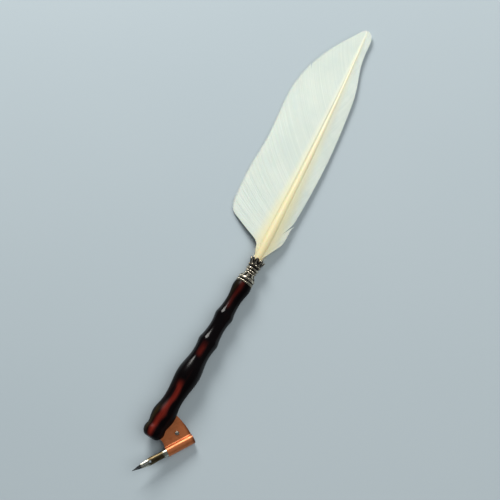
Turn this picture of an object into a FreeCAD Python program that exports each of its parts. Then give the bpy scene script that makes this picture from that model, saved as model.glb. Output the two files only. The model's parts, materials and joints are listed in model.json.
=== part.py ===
import FreeCAD, Part
import math
import os
from FreeCAD import Placement, Rotation, Vector

# Oblique dip pen with a goose-feather top, lying on a table.
#
# Everything is first built in the pen frame, in millimetres: +X runs along the handle's axis, from its nib
# end at x = 0 to the feather, +Z is up from the table and +Y is the side of the wide vane. The flange, nib,
# screw and nut are drawn flat and then rolled about the handle's axis until the flange's tube touches the
# table. Last, the whole pen is tilted to lie on its two widest rings, and moved so that the origin is the
# middle of its footprint.

# ---------------------------------------------------------------- driving dimensions
# Handle: (x, radius) of the turned profile, ring by ring.
HANDLE_LENGTH = 98.6
END_FACE_RADIUS = 3.4
HANDLE_PROFILE = [
    (0.0, END_FACE_RADIUS), (0.6, 4.45), (1.9, 5.4),        # rounded nib end
    (4.2, 5.98), (6.8, 5.55), (9.6, 5.95),                  # end bead and its groove
    (14.0, 6.6), (20.4, 5.6), (25.5, 5.32), (32.5, 6.0),    # first swelling and the grip's waist
    (39.5, 6.65), (45.0, 6.05), (49.6, 5.22), (54.0, 5.0),  # second swelling
    (58.2, 5.42), (60.6, 5.72), (62.8, 5.3), (66.0, 4.75), (70.0, 4.45),   # third, with a sharper crest
    (75.4, 4.95), (77.6, 5.28), (79.8, 4.85), (83.0, 4.35), (86.2, 4.15),  # fourth, sharper too
    (91.6, 4.5),
    (96.6, 5.2), (HANDLE_LENGTH, 4.95),                     # top ring
]
REST_RING_X, REST_RING_R = 39.5, 6.65     # the two rings that lie on the table
TOP_RING_X, TOP_RING_R = 96.6, 5.2

# Ferrule: five metal pieces threaded on a brass sleeve, one after the other along the axis.
SLEEVE_R, SLEEVE_BORE_R = 2.2, 1.95
SLEEVE_START, SLEEVE_END = 90.2, 109.6
GLUE_GAP = 0.02                            # radial gap of a glued or threaded-on piece
FOOT_START = HANDLE_LENGTH
BELL_START, SPACER_START, COLLAR_START, CROWN_START, CROWN_END = 100.4, 105.6, 107.8, 108.8, 114.8
FOOT_R, FOOT_CROWN = 5.0, 0.75             # radius, and how much of it is the rounding
RING_CHAMFER = 0.3
BELL_PROFILE = [(0.3, 4.7), (1.5, 4.8), (2.8, 4.4), (4.2, 3.3), (5.0, 2.95)]   # (x after its start, radius)
BELL_GRANULES, BELL_GRANULE_R, BELL_GRANULE_X, BELL_GRANULE_CIRCLE_R = 16, 0.55, 1.5, 4.45
SPACER_CORE_R, SPACER_BALLS, SPACER_BALL_R = 2.5, 10, 0.8
COLLAR_R, COLLAR_CROWN = 3.8, 0.45
CROWN_NECK_LENGTH, CROWN_NECK_R, CROWN_RIM_R = 0.6, 3.15, 4.65
CROWN_FLARE = [(CROWN_NECK_LENGTH, CROWN_NECK_R), (2.6, 3.55), (4.4, 4.35), (6.0, CROWN_RIM_R)]
CROWN_MOUTH = [(110.0, 2.45), (113.2, 3.0), (CROWN_END + 0.1, 4.05)]              # (x, radius)
CROWN_POINTS, CROWN_NOTCH_R, CROWN_NOTCH_X = 9, 0.95, CROWN_END + 0.15
CROWN_KNOB_X, CROWN_KNOB_R, CROWN_KNOB_OUT = 1.7, 0.6, 0.25      # x after its start; out of the neck

# Feather: its shaft bends sideways and a little upwards, and tapers.
SHAFT_PIVOT_X = 105.0
SHAFT_SIDE_SLOPE, SHAFT_SIDE_CURVE = 0.0435, 3.03e-4
SHAFT_UP_CURVE = 5.7e-5
SHAFT_RINGS = 30                           # sections that its loft runs through
SHAFT_STATIONS = [                         # (x, radius), straight tapers between them
    (92.0, 1.1), (98.0, 1.3), (110.0, 1.5), (115.0, 2.3), (126.0, 2.65), (150.0, 2.25), (180.0, 1.7),
    (207.0, 1.3), (231.0, 0.95), (250.0, 0.6), (266.0, 0.28),
]
VANE_THICKNESS = 0.5
VANE_GAP = 0.06                            # between a vane's root and the shaft
VANE_COLUMNS, VANE_ROWS, VANE_ROOT_SPANS = 11, 7, 12
VANE_MARGIN = 2.0                          # how far its surface is drawn past its outline before trimming
WIDE_DROOP_SPAN, WIDE_EDGE_HEIGHT = 29.0, 0.75
NARROW_DROOP_SPAN, NARROW_EDGE_HEIGHT = 15.0, 1.0
WIDE_VANE_EDGE = [                         # (x, y) from the shaft's base round to its tip
    (116.5, 4.3), (122.2, 5.6), (125.2, 9.4), (127.8, 16.2), (130.2, 23.0), (134.0, 28.2), (146.7, 31.8),
    (162.5, 33.1), (179.0, 33.2), (195.0, 34.7), (213.0, 36.7), (229.0, 35.1), (244.0, 29.9), (256.6, 23.1),
    (263.4, 19.0), (267.0, 15.9),
]
NARROW_VANE_EDGE = [
    (116.5, -2.9), (122.8, -5.2), (127.4, -6.8), (140.0, -7.0), (153.0, -6.6), (169.0, -6.0), (185.0, -4.9),
    (200.6, -3.1), (216.0, -0.8), (231.3, 2.4), (245.5, 7.4), (258.0, 9.6), (264.2, 10.6), (267.0, 13.6),
]

# Flange: one folded sheet, with a tube for the nib and two leaves in the handle's slot.
SHEET = 0.4
LEAF_GAP = 0.1
FLANGE_ANGLE = 31.1                        # degrees between the nib and the handle's axis
TUBE_BORE_R = 2.3
TUBE_MOUTH, TUBE_REAR = 21.3, 37.4         # distances behind the nib's tip
BEND_R = 0.9                               # of the sheet's mid-line, from tube to leaf
LEAF_REACH = 40.0                          # how far the section is drawn before trimming
OUTLINE_GAP = 0.1                          # from the outline's straight side to the tube
NIB_TIP_X, NIB_TIP_Y = -20.4, -1.05
TANG_FRONT_X, TANG_REAR_X, TANG_DEPTH_Y = 1.8, 17.3, -1.2
FRONT_AT_HANDLE_Y, REAR_AT_HANDLE_Y = -4.8, -6.4
SLOT_CLEARANCE = 0.02

# Clamp screw and nut, 1.4 mm thread.
SCREW_X, SCREW_Y = 9.3, -11.4
THREAD_R, THREAD_ROOT_R, THREAD_PITCH = 0.68, 0.55, 0.3
SCREW_HOLE_R = 0.75
HEAD_R, HEAD_RIM, HEAD_HEIGHT = 1.25, 0.3, 0.8
DOME_MID_HEIGHT, DOME_MID_R = 0.87, 0.68   # a point halfway round the dome, as shares of the head
DRIVE_WIDTH, DRIVE_DEPTH = 0.32, 0.35
NUT_FLATS, NUT_HEIGHT, NUT_BORE_R = 2.8, 1.1, 0.72
NUT_CHAMFER = 0.25
SCREW_PAST_NUT = 0.9

# Nib: a pressed shell. x is measured forward from its tip.
NIB_LENGTH, NIB_R, NIB_SHEET = 35.0, 2.27, 0.22
NIB_WRAP_Z = -1.0                          # how far down its base wraps round
NIB_LOWER_EDGE = [(-20.6, NIB_WRAP_Z), (-19.2, -0.4), (-17.4, 0.3), (-14.5, 0.62), (0.5, 0.3)]     # (x, z)
NIB_CROWN_DROP = [(-14.0, NIB_R), (-10.0, 2.22), (-6.0, 1.95), (-2.5, 1.5), (0.2, 1.02)]
NIB_HALF_WIDTH = [
    (-22.5, 2.4), (-20.4, 2.2), (-18.2, 1.96), (-14.6, 1.98), (-11.0, 2.1), (-8.6, 1.86), (-6.0, 1.36),
    (-3.4, 0.78), (-1.4, 0.34), (0.0, 0.1),
]
VENT_X, VENT_R, SLIT_WIDTH = -10.8, 0.6, 0.07

TABLE_GAP = 0.02                           # the tube's rear end stops just above the table
CLEAR, CUT_PAST = 20.0, 1.0                # how far cutting shapes reach past what they cut
TOUCHING = 1e-6

ORIGIN = Vector(0, 0, 0)
X_AXIS, Y_AXIS, Z_AXIS = Vector(1, 0, 0), Vector(0, 1, 0), Vector(0, 0, 1)
NIB_AXIS = Vector(-math.cos(math.radians(FLANGE_ANGLE)), math.sin(math.radians(FLANGE_ANGLE)), 0)
NIB_TIP = Vector(NIB_TIP_X, NIB_TIP_Y, 0)
RING_BORE = SLEEVE_R + GLUE_GAP
TUBE_R = TUBE_BORE_R + SHEET
LEAF_TOP = LEAF_GAP / 2 + SHEET
REST_TILT = math.degrees(math.asin((REST_RING_R - TOP_RING_R) / (TOP_RING_X - REST_RING_X)))


# ---------------------------------------------------------------- helpers
def polyline(points):
    """Straight edges through (x, y) points, leaving out any of no length."""
    ends = [Vector(x, y, 0) for x, y in points]
    return [Part.makeLine(a, b) for a, b in zip(ends, ends[1:]) if a.distanceToPoint(b) > TOUCHING]


def smooth(points):
    """One spline edge through (x, y) points."""
    curve = Part.BSplineCurve()
    curve.interpolate([Vector(x, y, 0) for x, y in points])
    return [curve.toShape()]


def arc(start, middle, end):
    """An arc edge through three (x, y) points."""
    return [Part.Arc(*[Vector(x, y, 0) for x, y in (start, middle, end)]).toShape()]


def turned(edges, bore=0.0):
    """A solid of revolution about X, from an outer profile drawn as (x, radius) and a plain bore."""
    start, end = edges[0].Vertexes[0].Point, edges[-1].Vertexes[-1].Point
    closing = polyline([(end.x, end.y), (end.x, bore), (start.x, bore), (start.x, start.y)])
    return Part.Face(Part.Wire(edges + closing)).revolve(ORIGIN, X_AXIS, 360)


def around_x(shape, count):
    """Copies of a shape, evenly spaced about the X axis."""
    copies = []
    for k in range(count):
        copy = shape.copy()
        copy.rotate(ORIGIN, X_AXIS, 360.0 * k / count)
        copies.append(copy)
    return copies


def prism(edges, low, high):
    """A vertical prism over a closed outline in the XY plane."""
    face = Part.Face(Part.Wire(edges))
    face.translate(Vector(0, 0, low))
    return face.extrude(Vector(0, 0, high - low))


def spaced(start, end, count):
    """Evenly spaced numbers, both ends included."""
    return [start + (end - start) * k / (count - 1) for k in range(count)]


def one_solid(shape):
    """The single solid of a boolean result, with its split faces merged."""
    cleaned = shape.removeSplitter()
    return cleaned.Solids[0] if len(cleaned.Solids) == 1 else cleaned


# ---------------------------------------------------------------- handle
def slot_for_flange():
    """The saw cut that the flange's leaves are glued in, open at the handle's end."""
    half = LEAF_TOP + SLOT_CLEARANCE
    low = Vector(-CLEAR, -CLEAR, -half)
    high = Vector(TANG_REAR_X, TANG_DEPTH_Y, half) + Vector(SLOT_CLEARANCE, SLOT_CLEARANCE, 0)
    size = high - low
    return Part.makeBox(size.x, size.y, size.z, low)


def handle(roll):
    body = turned(smooth(HANDLE_PROFILE))
    slot = slot_for_flange()
    slot.rotate(ORIGIN, X_AXIS, roll)
    socket_start = SLEEVE_START - GLUE_GAP
    socket = Part.makeCylinder(SLEEVE_R + GLUE_GAP, HANDLE_LENGTH, Vector(socket_start, 0, 0), X_AXIS)
    return one_solid(body.cut([slot, socket]))


# ---------------------------------------------------------------- ferrule
def ferrule_sleeve():
    return turned(polyline([(SLEEVE_START, SLEEVE_R), (SLEEVE_END, SLEEVE_R)]), SLEEVE_BORE_R)


def ferrule_foot_ring():
    """A rounded ring that seats on the handle's top."""
    flat = FOOT_R - FOOT_CROWN
    edges = polyline([(FOOT_START, flat - RING_CHAMFER), (FOOT_START, flat)])
    edges += arc((FOOT_START, flat), ((FOOT_START + BELL_START) / 2, FOOT_R), (BELL_START, flat))
    return turned(edges, RING_BORE)


def ferrule_bell_cap():
    """A bell-shaped bead cap with a row of granules round its foot."""
    profile = [(BELL_START + x, r) for x, r in BELL_PROFILE]
    end = profile[-1][1] - RING_CHAMFER
    edges = polyline([(BELL_START, profile[0][1] - RING_CHAMFER), profile[0]])
    edges += smooth(profile)
    edges += polyline([profile[-1], (SPACER_START, end)])
    cap = turned(edges, RING_BORE)
    granule = Part.makeSphere(BELL_GRANULE_R, Vector(BELL_START + BELL_GRANULE_X, 0, BELL_GRANULE_CIRCLE_R))
    return one_solid(cap.fuse(around_x(granule, BELL_GRANULES)))


def ferrule_daisy_spacer():
    """A ring of granules round a thin washer."""
    core = turned(polyline([(SPACER_START, SPACER_CORE_R), (COLLAR_START, SPACER_CORE_R)]), RING_BORE)
    middle = (SPACER_START + COLLAR_START) / 2
    ball = Part.makeSphere(SPACER_BALL_R, Vector(middle, 0, SPACER_CORE_R))
    bore = Part.makeCylinder(RING_BORE, COLLAR_START - SPACER_START, Vector(SPACER_START, 0, 0), X_AXIS)
    return one_solid(core.fuse(around_x(ball, SPACER_BALLS)).cut(bore))


def ferrule_collar_ring():
    middle, flat = (COLLAR_START + CROWN_START) / 2, COLLAR_R - COLLAR_CROWN
    return turned(arc((COLLAR_START, flat), (middle, COLLAR_R), (CROWN_START, flat)), RING_BORE)


def ferrule_crown():
    """A flared cup with a pointed rim, whose mouth holds the quill."""
    flare = [(CROWN_START + x, r) for x, r in CROWN_FLARE]
    cup = turned(polyline([(CROWN_START, CROWN_NECK_R), flare[0]]) + smooth(flare), RING_BORE)
    mouth = turned(polyline(CROWN_MOUTH))
    notch = Part.makeCylinder(CROWN_NOTCH_R, CLEAR, Vector(CROWN_NOTCH_X, 0, RING_BORE), Z_AXIS)
    knob = Part.makeSphere(CROWN_KNOB_R, Vector(CROWN_START + CROWN_KNOB_X, 0, CROWN_NECK_R + CROWN_KNOB_OUT))
    notched = cup.cut([mouth] + around_x(notch, CROWN_POINTS))
    return one_solid(notched.fuse(around_x(knob, CROWN_POINTS)))


# ---------------------------------------------------------------- feather
def shaft_centre(x):
    run = x - SHAFT_PIVOT_X
    return Vector(x, SHAFT_SIDE_SLOPE * run + SHAFT_SIDE_CURVE * run * run, SHAFT_UP_CURVE * run * run)


def shaft_tangent(x):
    run = x - SHAFT_PIVOT_X
    direction = Vector(1, SHAFT_SIDE_SLOPE + 2 * SHAFT_SIDE_CURVE * run, 2 * SHAFT_UP_CURVE * run)
    return direction.normalize()


def shaft_radius(x):
    for (x0, r0), (x1, r1) in zip(SHAFT_STATIONS, SHAFT_STATIONS[1:]):
        if x <= x1:
            return r0 + (r1 - r0) * (x - x0) / (x1 - x0)
    return SHAFT_STATIONS[-1][1]


def axis_height(x):
    """Height of the handle's axis line above the table, once the pen lies tilted on its two rings."""
    tilt = math.radians(REST_TILT)
    return REST_RING_R - (x - REST_RING_X) * math.tan(tilt)


def feather_shaft():
    rings = []
    for x in spaced(SHAFT_STATIONS[0][0], SHAFT_STATIONS[-1][0], SHAFT_RINGS):
        circle = Part.Circle(shaft_centre(x), shaft_tangent(x), shaft_radius(x))
        rings.append(Part.Wire(circle.toShape()))
    return Part.makeLoft(rings, True, False)


def vane_height(x, y, span, edge_height):
    """A vane's mid-surface: level with the shaft, and bowing down to its outer edge."""
    shaft = shaft_centre(x)
    drop = axis_height(x) + shaft.z - edge_height
    return shaft.z - drop * ((y - shaft.y) / span) ** 2


def vane(outer_edge, side, span, edge_height):
    """A thin bowed sheet between the shaft and an outer edge. side is +1 for +Y and -1 for -Y."""
    base_x, tip_x = outer_edge[0][0], outer_edge[-1][0]
    root = [(x, shaft_centre(x).y + side * (shaft_radius(x) + VANE_GAP))
            for x in spaced(tip_x, base_x, VANE_ROOT_SPANS + 1)]
    edges = smooth(outer_edge) + polyline([outer_edge[-1], root[0]]) + smooth(root)
    edges += polyline([root[-1], outer_edge[0]])
    ys = [y for _, y in outer_edge + root]
    bottom = Vector(0, 0, -VANE_THICKNESS / 2)
    grid = []
    for x in spaced(base_x - VANE_MARGIN, tip_x + VANE_MARGIN, VANE_COLUMNS):
        across = spaced(min(ys) - VANE_MARGIN, max(ys) + VANE_MARGIN, VANE_ROWS)
        grid.append([Vector(x, y, vane_height(x, y, span, edge_height)) + bottom for y in across])
    surface = Part.BSplineSurface()
    surface.interpolate(grid)
    sheet = surface.toShape().extrude(Vector(0, 0, VANE_THICKNESS))
    return one_solid(sheet.common(prism(edges, -CLEAR, CLEAR)))


# ---------------------------------------------------------------- flange, nib, screw and nut, drawn flat
def flange_section():
    """The folded sheet's cross-section, drawn in the (across, up) plane. +across is towards the handle."""
    middle_r = TUBE_BORE_R + SHEET / 2
    leaf_mid = (LEAF_GAP + SHEET) / 2
    bend_up = leaf_mid + BEND_R
    bend_across = math.sqrt((middle_r + BEND_R) ** 2 - bend_up ** 2)
    lean = math.atan2(bend_up, bend_across)

    def on_circle(radius, angle):
        return (radius * math.cos(angle), radius * math.sin(angle))

    def sheet_face(radius, bend_radius, leaf):
        """One face of the sheet: leaf, bend, round the tube, bend, leaf."""
        halfway = on_circle(bend_radius, (lean - 1.5 * math.pi) / 2)
        up_mid = (bend_across + halfway[0], bend_up + halfway[1])
        down_mid = (up_mid[0], -up_mid[1])
        edges = polyline([(LEAF_REACH, leaf), (bend_across, leaf)])
        edges += arc((bend_across, leaf), up_mid, on_circle(radius, lean))
        edges += arc(on_circle(radius, lean), (-radius, 0), on_circle(radius, -lean))
        edges += arc(on_circle(radius, -lean), down_mid, (bend_across, -leaf))
        edges += polyline([(bend_across, -leaf), (LEAF_REACH, -leaf)])
        return edges

    outside = sheet_face(TUBE_R, BEND_R - SHEET / 2, LEAF_TOP)
    inside = sheet_face(TUBE_BORE_R, BEND_R + SHEET / 2, LEAF_GAP / 2)
    ends = polyline([(LEAF_REACH, LEAF_TOP), (LEAF_REACH, LEAF_GAP / 2)])
    ends += polyline([(LEAF_REACH, -LEAF_TOP), (LEAF_REACH, -LEAF_GAP / 2)])
    return Part.Face(Part.Wire(Part.__sortEdges__(outside + inside + ends)))


def flange_outline():
    """The folded flange seen from above, in the pen frame."""
    across = Vector(NIB_AXIS.y, -NIB_AXIS.x, 0)             # from the tube towards the handle
    side = TUBE_R + OUTLINE_GAP

    def place(behind, beside):
        point = NIB_TIP - NIB_AXIS * behind + across * beside
        return (point.x, point.y)

    front_out, front_in = place(TUBE_MOUTH, -side), place(TUBE_MOUTH, TUBE_R)
    rear_in, rear_out = place(TUBE_REAR, TUBE_R), place(TUBE_REAR, -side)
    handle_front, handle_rear = (TANG_FRONT_X, FRONT_AT_HANDLE_Y), (TANG_REAR_X, REAR_AT_HANDLE_Y)
    edges = polyline([rear_out, front_out, front_in])
    edges += smooth([front_in, place(TUBE_MOUTH + 0.4, TUBE_R + 2.4), handle_front])
    edges += polyline([handle_front, (TANG_FRONT_X, TANG_DEPTH_Y), (TANG_REAR_X, TANG_DEPTH_Y), handle_rear])
    edges += smooth([handle_rear, (TANG_REAR_X - 0.8, -9.6), (TANG_REAR_X - 1.9, -12.9), rear_in])
    edges += polyline([rear_in, rear_out])
    return edges


def flange():
    section = flange_section()
    # The section's (across, up) plane is set square to the nib's axis, then drawn along the tube.
    section.rotate(ORIGIN, X_AXIS, 90)
    section.rotate(ORIGIN, Z_AXIS, math.degrees(math.atan2(-NIB_AXIS.x, NIB_AXIS.y)))
    section.translate(NIB_TIP - NIB_AXIS * (TUBE_REAR + CLEAR))
    folded = section.extrude(NIB_AXIS * (TUBE_REAR - TUBE_MOUTH + 2 * CLEAR))
    sheet = folded.common(prism(flange_outline(), -CLEAR, CLEAR))
    hole = Part.makeCylinder(SCREW_HOLE_R, 2 * CLEAR, Vector(SCREW_X, SCREW_Y, -CLEAR), Z_AXIS)
    return one_solid(sheet.cut(hole))


def nib_shell():
    """The nib's sheet as a shell of revolution about its own axis, before trimming."""
    base = -NIB_LENGTH
    inner = [(x, r - NIB_SHEET) for x, r in NIB_CROWN_DROP]
    past_tip = (inner[-1][0] + CUT_PAST, inner[-1][1] - NIB_SHEET)
    core_profile = polyline([(base - CUT_PAST, inner[0][1]), inner[0]]) + smooth(inner)
    core_profile += polyline([inner[-1], past_tip])
    profile = polyline([(base, NIB_R), NIB_CROWN_DROP[0]]) + smooth(NIB_CROWN_DROP)
    return turned(profile).cut(turned(core_profile))


def nib_from_above():
    right = [(x, -w) for x, w in NIB_HALF_WIDTH]
    left = [(x, w) for x, w in reversed(NIB_HALF_WIDTH)]
    back, wide = -NIB_LENGTH - CUT_PAST, NIB_HALF_WIDTH[0][1]
    edges = smooth(right) + polyline([right[-1], left[0]]) + smooth(left)
    edges += polyline([left[-1], (back, wide), (back, -wide), right[0]])
    return prism(edges, -CLEAR, CLEAR)


def nib_from_side():
    """What the sheet's lower edge leaves: a deep wrap in the tube, and a shallow blade in front of it."""
    back = -NIB_LENGTH - CUT_PAST
    edges = polyline([(back, NIB_WRAP_Z), NIB_LOWER_EDGE[0]]) + smooth(NIB_LOWER_EDGE[:-1])
    edges += polyline([NIB_LOWER_EDGE[-2], NIB_LOWER_EDGE[-1], (NIB_LOWER_EDGE[-1][0], 2 * NIB_R)])
    edges += polyline([(NIB_LOWER_EDGE[-1][0], 2 * NIB_R), (back, 2 * NIB_R), (back, NIB_WRAP_Z)])
    side = prism(edges, -CLEAR, CLEAR)
    side.rotate(ORIGIN, X_AXIS, 90)
    return side


def nib():
    """The pressed shell, trimmed from above and from the side, with its vent and slit."""
    vent = Part.makeCylinder(VENT_R, CLEAR, Vector(VENT_X, 0, 0), Z_AXIS)
    slit = Part.makeBox(CLEAR, SLIT_WIDTH, CLEAR, Vector(VENT_X, -SLIT_WIDTH / 2, 0))
    shape = nib_shell().common(nib_from_above()).common(nib_from_side()).cut([vent, slit])
    shape.Placement = Placement(NIB_TIP, Rotation(X_AXIS, NIB_AXIS))
    return one_solid(shape)


def clamp_screw():
    """Pan head on the upper leaf, with a driver slot; the thread is drawn as rings."""
    bottom, top = -LEAF_TOP - NUT_HEIGHT - SCREW_PAST_NUT, LEAF_TOP + HEAD_HEIGHT
    thread = [(bottom, 0.0)]
    for k in range(int((-LEAF_TOP - bottom) / THREAD_PITCH)):
        low = bottom + k * THREAD_PITCH
        thread += [(low, THREAD_ROOT_R), (low + THREAD_PITCH / 2, THREAD_R)]
    thread += [(-LEAF_TOP, THREAD_R), (LEAF_TOP, THREAD_R), (LEAF_TOP, HEAD_R), (LEAF_TOP + HEAD_RIM, HEAD_R)]
    dome_mid = (LEAF_TOP + DOME_MID_HEIGHT * HEAD_HEIGHT, DOME_MID_R * HEAD_R)
    dome = arc(thread[-1], dome_mid, (top, 0.0))
    screw = turned(polyline(thread) + dome)
    drive = Part.makeBox(CLEAR, CLEAR, DRIVE_WIDTH, Vector(top - DRIVE_DEPTH, -CLEAR / 2, -DRIVE_WIDTH / 2))
    screw = screw.cut(drive)
    screw.rotate(ORIGIN, Y_AXIS, -90)
    screw.translate(Vector(SCREW_X, SCREW_Y, 0))
    return one_solid(screw)


def clamp_nut():
    corner = NUT_FLATS / math.sqrt(3)
    angles = [math.radians(60 * k) for k in range(6)]
    points = [(corner * math.cos(a), corner * math.sin(a)) for a in angles]
    hexagon = prism(polyline(points + points[:1]), -LEAF_TOP - NUT_HEIGHT, -LEAF_TOP)
    foot = corner - NUT_CHAMFER
    chamfer = Part.makeCone(foot, foot + NUT_HEIGHT, NUT_HEIGHT, Vector(0, 0, -LEAF_TOP - NUT_HEIGHT), Z_AXIS)
    bore = Part.makeCylinder(NUT_BORE_R, 2 * CLEAR, Vector(0, 0, -CLEAR), Z_AXIS)
    nut = hexagon.common(chamfer).cut(bore)
    nut.rotate(ORIGIN, Z_AXIS, -FLANGE_ANGLE)
    nut.translate(Vector(SCREW_X, SCREW_Y, 0))
    return one_solid(nut)


# ---------------------------------------------------------------- assembly
def flange_roll():
    """Degrees of roll about the handle's axis that set the tube's rear end down on the table."""
    rear = NIB_TIP - NIB_AXIS * TUBE_REAR
    height = axis_height(rear.x) - TABLE_GAP
    roll = 0.0
    for _ in range(20):
        sideways = NIB_AXIS.x * math.sin(roll)
        reach_down = TUBE_R * math.hypot(sideways, math.cos(roll))
        roll = math.asin((height - reach_down) / -rear.y)
    return math.degrees(roll)


def build():
    roll = flange_roll()
    fixed = {
        "handle": handle(roll),
        "ferrule_sleeve": ferrule_sleeve(),
        "ferrule_foot_ring": ferrule_foot_ring(),
        "ferrule_bell_cap": ferrule_bell_cap(),
        "ferrule_daisy_spacer": ferrule_daisy_spacer(),
        "ferrule_collar_ring": ferrule_collar_ring(),
        "ferrule_crown": ferrule_crown(),
        "feather_shaft": feather_shaft(),
        "feather_wide_vane": vane(WIDE_VANE_EDGE, 1, WIDE_DROOP_SPAN, WIDE_EDGE_HEIGHT),
        "feather_narrow_vane": vane(NARROW_VANE_EDGE, -1, NARROW_DROOP_SPAN, NARROW_EDGE_HEIGHT),
    }
    rolled = {"flange": flange(), "nib": nib(), "clamp_screw": clamp_screw(), "clamp_nut": clamp_nut()}
    for shape in rolled.values():
        shape.rotate(ORIGIN, X_AXIS, roll)
    parts = {**fixed, **rolled}
    for shape in parts.values():
        shape.rotate(ORIGIN, Y_AXIS, REST_TILT)
    box = FreeCAD.BoundBox()
    for shape in parts.values():
        box.add(shape.optimalBoundingBox(False))
    shift = Vector(-box.Center.x, -box.Center.y, -box.ZMin)
    for shape in parts.values():
        shape.translate(shift)
    return parts, roll, shift


def main():
    os.makedirs("parts", exist_ok=True)
    parts, roll, shift = build()
    for name, shape in parts.items():
        shape.exportStep("parts/" + name + ".step")
        facts = (name, len(shape.Solids), shape.isValid(), shape.Volume)
        print("%-22s solids %d valid %s volume %.1f mm3" % facts)
    print("flange roll %.3f, rest tilt %.3f, shift %s" % (roll, REST_TILT, tuple(round(v, 4) for v in shift)))


if __name__ == "__main__":
    main()
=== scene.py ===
import json
import math

import bmesh
import bpy
import numpy as np
from mathutils import Matrix, Vector


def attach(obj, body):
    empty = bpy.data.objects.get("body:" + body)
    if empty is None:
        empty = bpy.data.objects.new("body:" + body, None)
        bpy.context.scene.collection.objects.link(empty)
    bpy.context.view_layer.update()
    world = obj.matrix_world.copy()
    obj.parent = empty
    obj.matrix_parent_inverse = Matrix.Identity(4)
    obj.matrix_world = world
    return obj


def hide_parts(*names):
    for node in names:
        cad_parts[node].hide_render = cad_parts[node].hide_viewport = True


# Oblique dip pen with a goose-feather top: the looks of its pieces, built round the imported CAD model.
#
# Shapes are drawn in the pen frame, in millimetres: x runs along the handle's axis from its nib end, z is
# up and y is the side of the wide vane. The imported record's pen_rest mount says where that frame lies.

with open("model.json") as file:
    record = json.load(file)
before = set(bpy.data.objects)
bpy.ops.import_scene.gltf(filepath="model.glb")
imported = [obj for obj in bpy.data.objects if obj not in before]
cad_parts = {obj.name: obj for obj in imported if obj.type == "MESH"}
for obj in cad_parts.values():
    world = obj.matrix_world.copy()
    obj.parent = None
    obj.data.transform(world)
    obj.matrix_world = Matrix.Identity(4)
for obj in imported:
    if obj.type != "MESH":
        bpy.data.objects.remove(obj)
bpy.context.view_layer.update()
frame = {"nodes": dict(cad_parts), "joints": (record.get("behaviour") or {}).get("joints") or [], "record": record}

# ---------------------------------------------------------------- driving dimensions, millimetres
MM = 0.001
SEED = 11
REST_X = 54.0                              # where the pen_rest mount is along the handle

# Handle
HANDLE_LENGTH = 98.6
HANDLE_PROFILE = [                         # (x, radius)
    (0.0, 3.4), (0.6, 4.45), (1.9, 5.4), (4.2, 5.98), (6.8, 5.55), (9.6, 5.95), (14.0, 6.6), (20.4, 5.6),
    (25.5, 5.32), (32.5, 6.0), (39.5, 6.65), (45.0, 6.05), (49.6, 5.22), (54.0, 5.0), (58.2, 5.42),
    (60.6, 5.72), (62.8, 5.3), (66.0, 4.75), (70.0, 4.45), (75.4, 4.95), (77.6, 5.28), (79.8, 4.85),
    (83.0, 4.35), (86.2, 4.15), (91.6, 4.5), (96.6, 5.2), (HANDLE_LENGTH, 4.95),
]
HANDLE_RINGS, HANDLE_AROUND = 360, 112
SOCKET_X, RING_BORE = 90.2, 2.22           # the ferrule's sleeve sits in this bore
SLOT_REAR_X, SLOT_DEPTH_Y, SLOT_HALF = 17.32, -1.18, 0.47      # the flange's saw cut, in the leaves' plane
SLOT_PAST_X, SLOT_PAST_Y = -5.0, -20.0     # where the cutting box ends, clear of the handle
SHARP_DEGREES = 40                         # the handle's edges that bend by more than this look sharp

# Ferrule
AROUND, OUTLINE_STEPS = 288, 60
FOOT_X, BELL_X, SPACER_X, COLLAR_X, CROWN_X, CROWN_END = 98.6, 100.4, 105.6, 107.8, 108.8, 114.8
FOOT_R, FOOT_CROWN, ROPE_STRANDS, ROPE_DEPTH, ROPE_PITCH = 5.0, 0.75, 30, 0.24, 2.4
BELL_PROFILE = [                           # (x after its start, radius)
    (0.0, 4.5), (0.4, 4.7), (1.5, 4.75), (2.8, 4.35), (4.2, 3.3), (5.2, 2.8),
]
BELL_FLUTES, BELL_FLUTE_DEPTH = 8, 0.42
BELL_FLUTE_FROM, BELL_FLUTE_FADE, BELL_FLUTE_TO = 2.3, 4.6, 5.2
BELL_STEP_WIDTH, BELL_STEP_DEPTH = 0.22, 0.18      # the line turned where the flutes begin
NECK_BEAD_X, NECK_BEAD_CIRCLE_R, NECK_BEAD_R = 4.75, 2.95, 0.3
GRANULES, GRANULE_R, GRANULE_X, GRANULE_CIRCLE_R = 16, 0.55, 1.5, 4.45
SPACER_CORE_R, SPACER_BALLS, SPACER_BALL_R = 2.5, 10, 0.8
COLLAR_R, COLLAR_CROWN = 3.8, 0.45
COLLAR_BEADS, COLLAR_LINE_WIDTH, COLLAR_LINE_DEPTH = 48, 0.16, 0.1     # width as a share of half the collar
CROWN_OUTSIDE = [                          # (x after its start, radius)
    (0.0, 3.0), (0.5, 3.15), (2.6, 3.5), (4.4, 4.2), (6.0, 4.62),
]
CROWN_WALL, CROWN_FLOOR_X = 0.42, 1.4
CROWN_PETALS, CROWN_CLEFT = 9, 2.1
PETALS_FROM_X, PETAL_VALLEY, PETAL_RIB, PETAL_RIB_WIDTH = 1.6, 0.3, 0.1, 0.035
RIM_LINE_X, RIM_LINE_WIDTH, RIM_LINE_DEPTH = 0.75, 0.2, 0.07     # engraved behind the petals' edges
CROWN_KNOB_X, CROWN_KNOB_R, CROWN_KNOB_OUT = 1.7, 0.58, 3.4
BORE_RECESS, CUP_RECESS = 0.6, 0.9         # how tarnished the bores and the inside of the crown are, 0 to 1

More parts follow.
